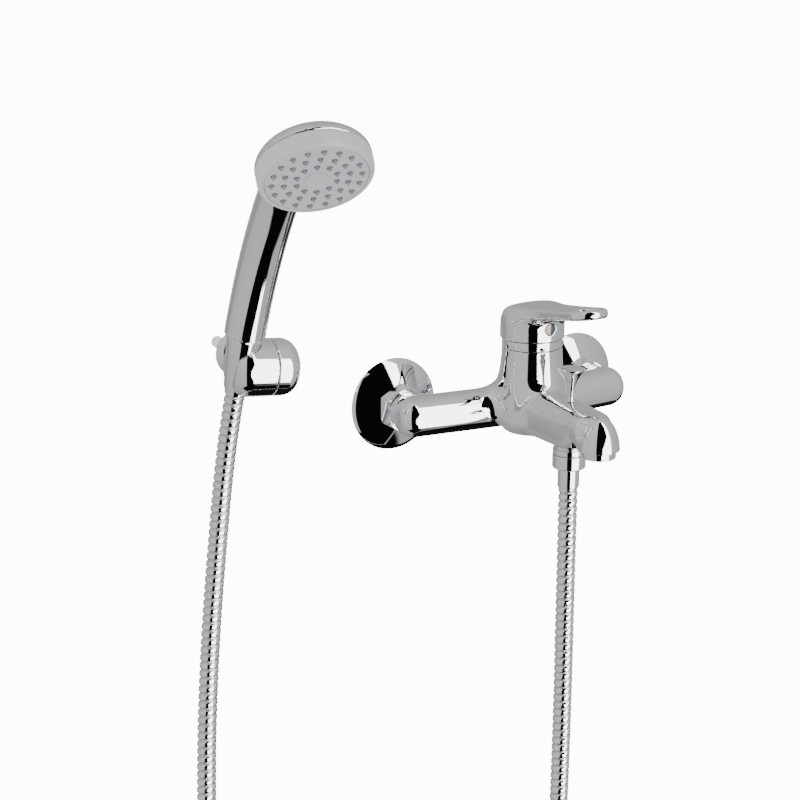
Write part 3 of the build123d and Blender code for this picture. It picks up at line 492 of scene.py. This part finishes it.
def barrel_field(p, end):
    """The swivelling barrel with its seat and slot, kept on one side of its seam by the field end."""
    x, y, z = p.T
    r = np.hypot(y, z)
    middle, half = (barrel_low_x + barrel_high_x) / 2, (barrel_high_x - barrel_low_x) / 2
    shell = rounded(np.abs(x - middle) - half, r - barrel_r, 10.0)
    shell = rounded(shell, end, 0.4)
    shell = cut(shell, np.hypot(x, y) - cone_r(z) - 0.15, 1.0)
    inner = np.maximum(r - 13.8, np.maximum(12.3 - x, x - 32.5))
    wedge = (np.abs(np.degrees(np.arctan2(z, y)) + 25) - 53) * np.maximum(r, 4.0) * math.pi / 180
    slot = np.maximum(wedge, np.abs(x - 17.8) - 5.6)
    return cut(np.maximum(shell, -inner), slot, 0.6)


moulded("holder_casting", lambda p: barrel_field(p, p[:, 0] - seam_x + half_gap),
        (-9, -21, -21), (22, 21, 21), 0.8,
        holder, chrome_plastic, "holder", ["holder_barrel"])
moulded("end_dome", lambda p: barrel_field(p, seam_x + half_gap - p[:, 0]),
        (18, -21, -21), (40, 21, 21), 0.8,
        holder, chrome_plastic, "holder", ["barrel_end_cap"])


# ---- turned pieces ---------------------------------------------------------------------------------
for label, side_sign in (("left", -1), ("right", 1)):
    wall_place = Place((side_sign * inlet_x, 0, 0), (1, 0, 0), (0, -1, 0))
    outer = arc((32.5, 0.1), (30.9, 1.65), (28.8, 3.1), 8)
    outer += arc((28.7, 3.15), (21.9, 6.65), (14.6, 10.0), 20)
    inner = arc((14.6, 8.8), (22.2, 5.2), (29.4, 1.0), 20) + [(31.3, 0.0)]
    lathe(f"flange_{label}", [(32.4, 0.0)] + outer + [(13.4, 10.3), (12.85, 10.0), (12.85, 8.9)] + inner,
          wall_place, chrome, "fixed", [f"wall_flange_{label}"], 144)

ring_low, ring_high = 44.9, 50.9
cover = [(15.5, ring_low), (20.4, ring_low), (20.4, ring_high), (15.5, ring_high)]
lathe("ring_under_lever", softened(cover, 0.5), upright(column_y),
      chrome, "fixed", ["cover_ring"], 144)

knob_low = 17.4
trumpet = [(2.5, 0.0), (2.3, 1.2), (2.15, 3.8), (2.3, 7.2), (2.9, 10.6), (4.0, 13.8), (5.6, 16.8),
           (7.2, 19.2), (8.3, 20.6), (8.75, 21.2), (8.8, 21.7), (8.6, 22.1), (8.1, 22.3), (0.0, 22.3),
           (0.0, 0.0)]
lathe("diverter_pull", trumpet, upright(outlet_y, knob_low), chrome, "diverter", ["diverter_knob"])

aerator = [(9.3, -12.0), (11.0, -12.0), (11.5, -11.5), (11.5, -1.0), (9.9, -1.0), (9.9, -10.8), (9.3, -10.8)]
lathe("aerator_ring", softened(aerator, 0.35), upright(spout_y),
      chrome, "fixed", ["aerator_housing"])

nut = [(7.4, -28.0), (10.5, -28.0), (11.2, -27.2), (11.2, -18.9), (10.8, -18.5), (9.95, -18.5), (9.95, -26.7),
       (7.4, -26.7)]
lathe("outlet_nut", softened(nut, 0.3), upright(outlet_y), chrome, "fixed", ["hose_nut"])
collar = [(4.5, -23.8), (9.8, -23.8), (9.8, -18.3), (10.6, -18.3), (11.0, -17.9), (11.0, -14.7),
          (10.6, -14.3), (9.8, -14.3), (8.4, -12.0), (8.4, -9.7), (4.5, -9.7)]
lathe("outlet_collar", softened(collar, 0.3), upright(outlet_y), chrome, "fixed", ["outlet_nipple"])

sleeve = [(4.5, -41.7), (6.7, -41.7), (7.3, -41.1), (7.3, -27.2), (4.5, -27.2)]
lathe("outlet_sleeve", softened(sleeve, 0.5), upright(outlet_y),
      chrome, "fixed", ["hose_ferrule_lower"])

cone = [(7.4, -14.0), (7.9, -13.4), (11.2, 21.4), (10.9, 22.2), (10.0, 22.2), (10.0, 8.0), (7.0, 6.0),
        (7.0, -14.0)]
lathe("conical_nut", softened(cone, 0.5), holder, chrome_plastic, "handset", ["cone_nut"])

upper_sleeve = [(4.5, -18.0), (6.3, -18.0), (6.85, -17.4), (6.85, 4.0), (4.5, 4.0)]
lathe("handset_sleeve", softened(upper_sleeve, 0.4), holder,
      chrome, "hose_end", ["hose_ferrule_upper"])

rim = [(29.7, 0.0), (31.0, 0.0), (32.2, 0.6), (33.0, 1.8), (33.4, 3.6), (33.4, 9.7), (33.1, 10.1),
       (31.4, 10.1), (31.4, 3.4), (28.2, 3.4), (28.2, 2.6), (29.7, 2.6)]
lathe("face_rim", softened(rim, 0.5), face, face_grey, "handset", ["face_ring"], 144)


# ---- hose ------------------------------------------------------------------------------------------
hose_start = bracket_origin - 18.0 * cone_dir
route = [
    tuple(hose_start), tuple(hose_start - 34.0 * cone_dir),
    (-218.5, -25.5, -58.0), (-227.5, -25.5, -140.0), (-236.0, -32.0, -228.0), (-240.0, -41.0, -325.0),
    (-236.0, -50.5, -420.0), (-215.0, -60.0, -500.0), (-174.0, -69.5, -557.0), (-120.0, -79.0, -577.0),
    (-66.0, -89.0, -556.0), (-27.0, -97.5, -500.0), (-8.0, -103.0, -415.0), (-1.7, -105.9, -315.0),
    (-0.1, -105.7, -214.0), (0.0, -105.0, -113.7), (0.0, -105.0, -41.7),
]
line = bpy.data.curves.new("hose_line", "CURVE")
line.dimensions = "3D"
spline = line.splines.new("NURBS")
spline.points.add(len(route) - 1)
for point, place_mm in zip(spline.points, route):
    point.co = (*(c * MM for c in place_mm), 1.0)
spline.order_u = 3
spline.use_endpoint_u = True
spline.resolution_u = 150
line_object = bpy.data.objects.new("hose_line", line)
bpy.context.scene.collection.objects.link(line_object)
bpy.context.view_layer.update()
line_mesh = bpy.data.meshes.new_from_object(line_object)
hose_points = np.array([v.co for v in line_mesh.vertices])
bpy.data.objects.remove(line_object)
bpy.data.meshes.remove(line_mesh)


def ribbed_tube(name, points, outer, depth, pitch, around=32):
    """Tube along points, with the rolled strip's spiral ridges. Metres."""
    tangent = np.gradient(points, axis=0)
    tangent /= np.linalg.norm(tangent, axis=1)[:, None]
    side = np.cross(tangent[0], (1.0, 0.0, 0.0))
    sides = []
    for t in tangent:
        side = side - (side @ t) * t
        side = side / np.linalg.norm(side)
        sides.append(side)
    sides = np.array(sides)
    ups = np.cross(tangent, sides)
    run = np.concatenate([[0], np.cumsum(np.linalg.norm(np.diff(points, axis=0), axis=1))])
    angle = np.linspace(0, 2 * math.pi, around, endpoint=False)
    phase = (run[:, None] / pitch - angle[None, :] / (2 * math.pi)) % 1.0
    from_groove = np.minimum(phase, 1 - phase)
    half_groove, flank, groove_shade_width = 0.13, 0.12, 0.20      # as parts of the pitch
    rise = np.clip((from_groove - half_groove) / flank, 0, 1)
    radius = outer - depth * (1 - rise * (2 - rise))
    ring = points[:, None, :] + radius[..., None] * (
        np.cos(angle)[None, :, None] * sides[:, None, :] + np.sin(angle)[None, :, None] * ups[:, None, :])
    count = len(points)
    i = np.arange(count - 1)[:, None]
    j = np.arange(around)[None, :]
    after = (j + 1) % around
    faces = np.stack([i * around + j, i * around + after, (i + 1) * around + after, (i + 1) * around + j], -1)
    faces = faces.reshape(-1, 4)[:, ::-1].tolist()
    mesh = bpy.data.meshes.new(name)
    mesh.from_pydata(ring.reshape(-1, 3).tolist(), [],
                     faces + [list(range(around)), list(range((count - 1) * around, count * around))[::-1]])
    mesh.shade_smooth()
    # The grooves take the darker chrome: painted shade in the recesses of the strip.
    groove_shaded = from_groove[:-1] < groove_shade_width
    slots = np.concatenate([groove_shaded.reshape(-1).astype(int), [0, 0]])
    mesh.materials.append(hose_chrome)
    mesh.materials.append(hose_groove_shade)
    mesh.polygons.foreach_set("material_index", slots.tolist())
    return mesh


hose_pitch = 5.4 * MM
hose = piece("hose", ribbed_tube("hose", hose_points, 6.5 * MM, 0.95 * MM, hose_pitch),
             None, None, ["shower_hose"])
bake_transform(hose)

# The stretch of hose that is drawn out of the rest of it when the handset is lifted.
top_points = hose_points[np.linalg.norm(hose_points - hose_points[0], axis=1) < 0.030]
piece("hose_top", ribbed_tube("hose_top", top_points, 5.5 * MM, 0.5 * MM, hose_pitch),
      None, "hose_end")


# ---- studio ----------------------------------------------------------------------------------------
backdrop = 12.0               # level that the camera sees behind and under the object
tent_grey = 0.78              # level of the tent's reflections, facing the camera at eye height
card_grey = 0.42
black = 0.004
wall_foot_black = 0.01
softbox_shine = 6.0           # added to the softbox's 1.0 in reflections
matt_light = 1.3              # level for every diffuse ray

floor_mesh = bpy.data.meshes.new("floor")
floor_mesh.from_pydata([(-6, -6, -0.66), (6, -6, -0.66), (6, 6, -0.66), (-6, 6, -0.66)], [], [(0, 1, 2, 3)])
floor = bpy.data.objects.new("floor", floor_mesh)
bpy.context.scene.collection.objects.link(floor)
pale = bpy.data.materials.new("pale_floor")
pale.use_nodes = True
shader = pale.node_tree.nodes["Principled BSDF"]
shader.inputs["Base Color"].default_value = (0.9, 0.9, 0.9, 1)
shader.inputs["Roughness"].default_value = 1.0
shader.inputs["Emission Color"].default_value = (1, 1, 1, 1)
shader.inputs["Emission Strength"].default_value = backdrop
floor_mesh.materials.append(pale)
floor.visible_glossy = False
floor.visible_diffuse = False
floor.visible_shadow = False

# The studio round the object: a grey tent with one tall white softbox and dark gaps beside it.
# Angles are degrees round from the shooting side, positive to the right, and degrees of height.
world = bpy.data.worlds.new("studio")
bpy.context.scene.world = world
world.use_nodes = True
tree = world.node_tree
tree.nodes.clear()
shooting_side = math.radians(29.2)
right = (math.cos(shooting_side), -math.sin(shooting_side), 0.0)
back = (-math.sin(shooting_side), -math.cos(shooting_side), 0.0)


ray = add(tree, "ShaderNodeTexCoord").outputs["Generated"]
path = add(tree, "ShaderNodeLightPath").outputs
across, towards, up = [
    add(tree, "ShaderNodeVectorMath", enumerate((ray, way)), operation="DOT_PRODUCT").outputs["Value"]
    for way in (right, back, (0.0, 0.0, 1.0))]
in_degrees = 180 / math.pi
round_angle = add(tree, "ShaderNodeMath", enumerate((across, towards)), operation="ARCTAN2")
round_angle = add(tree, "ShaderNodeMath", enumerate((round_angle, in_degrees)), operation="MULTIPLY")
height = add(tree, "ShaderNodeMath", [(0, up)], operation="ARCSINE")
height = add(tree, "ShaderNodeMath", enumerate((height, in_degrees)), operation="MULTIPLY")


def band(angle, low, high, soft):
    """1 between two angles in degrees, with soft edges."""
    middle, half = (low + high) / 2, (high - low) / 2
    away = add(tree, "ShaderNodeMath", enumerate((angle, middle)), operation="SUBTRACT")
    away = add(tree, "ShaderNodeMath", [(0, away)], operation="ABSOLUTE")
    edges = {"From Min": half - soft, "From Max": half + soft, "To Min": 1.0, "To Max": 0.0}
    return add(tree, "ShaderNodeMapRange", [("Value", away)], interpolation_type="SMOOTHSTEP", **edges)


def panel(round_span, height_span):
    """1 inside a rectangle of the tent; each span is from, to and softness in degrees."""
    sides = band(round_angle, *round_span), band(height, *height_span)
    return add(tree, "ShaderNodeMath", enumerate(sides), operation="MULTIPLY")


# The tent's grey falls towards the floor and behind the object.
grey = add(tree, "ShaderNodeMath", enumerate((height, 0.0022, tent_grey)), operation="MULTIPLY_ADD")
turned_away = add(tree, "ShaderNodeMath", [(0, round_angle)], operation="ABSOLUTE")
turned_away = add(tree, "ShaderNodeMath", enumerate((turned_away, 55.0)), operation="SUBTRACT")
turned_away = add(tree, "ShaderNodeMath", enumerate((turned_away, 0.0)), operation="MAXIMUM")
grey = add(tree, "ShaderNodeMath", enumerate((turned_away, -0.0026, grey)), operation="MULTIPLY_ADD")

# The softbox's left edge leans away from the camera above and below the middle.
off_middle = add(tree, "ShaderNodeMath", enumerate((height, 12.0)), operation="ADD")
off_middle = add(tree, "ShaderNodeMath", [(0, off_middle)], operation="ABSOLUTE")
leaning = {"From Min": 10.0, "From Max": 34.0, "To Min": 16.0, "To Max": 45.0}
left_edge = add(tree, "ShaderNodeMapRange", [("Value", off_middle)], **leaning)
inside = add(tree, "ShaderNodeMath", enumerate((round_angle, left_edge)), operation="SUBTRACT")
inside = add(tree, "ShaderNodeMath", enumerate((inside, 0.6)), operation="MULTIPLY", use_clamp=True)
softbox = panel((0, 66, 1.2), (-50, 74, 2.0))
softbox = add(tree, "ShaderNodeMath", enumerate((softbox, inside)), operation="MULTIPLY")
shine = add(tree, "ShaderNodeMath", enumerate((path["Is Glossy Ray"], softbox_shine, 1.0)),
            operation="MULTIPLY_ADD")

side_card = panel((-136, -108, 7.0), (-36, 4, 8.0))
dark_gap = panel((-18, 67.5, 1.5), (-100, 79, 2.0))
underneath = panel((-62, 200, 9.0), (-120, -57, 2.5))
wall_foot = panel((118, 250, 6.0), (-120, -24, 4.0))
level = grey
for over, mask in ((card_grey, side_card), (black, dark_gap), (black, underneath),
                   (wall_foot_black, wall_foot), (shine, softbox),
                   (matt_light, path["Is Diffuse Ray"]), (backdrop, path["Is Camera Ray"])):
    level = add(tree, "ShaderNodeMix", [(0, mask), (2, level), (3, over)])
combine = add(tree, "ShaderNodeCombineColor", [(channel, level) for channel in range(3)])
background = add(tree, "ShaderNodeBackground", [("Color", combine)])
add(tree, "ShaderNodeOutputWorld", [("Surface", background)])

# ---- camera ----------------------------------------------------------------------------------------
lens = bpy.data.cameras.new("camera")
lens.lens = 76.5
lens.sensor_width = 36.0
camera = bpy.data.objects.new("camera", lens)
camera.location = (-0.62103, -0.98748, 0.32306)
camera.rotation_euler = (math.radians(74.14), 0.0, math.radians(-29.18))
bpy.context.scene.collection.objects.link(camera)
bpy.context.scene.camera = camera
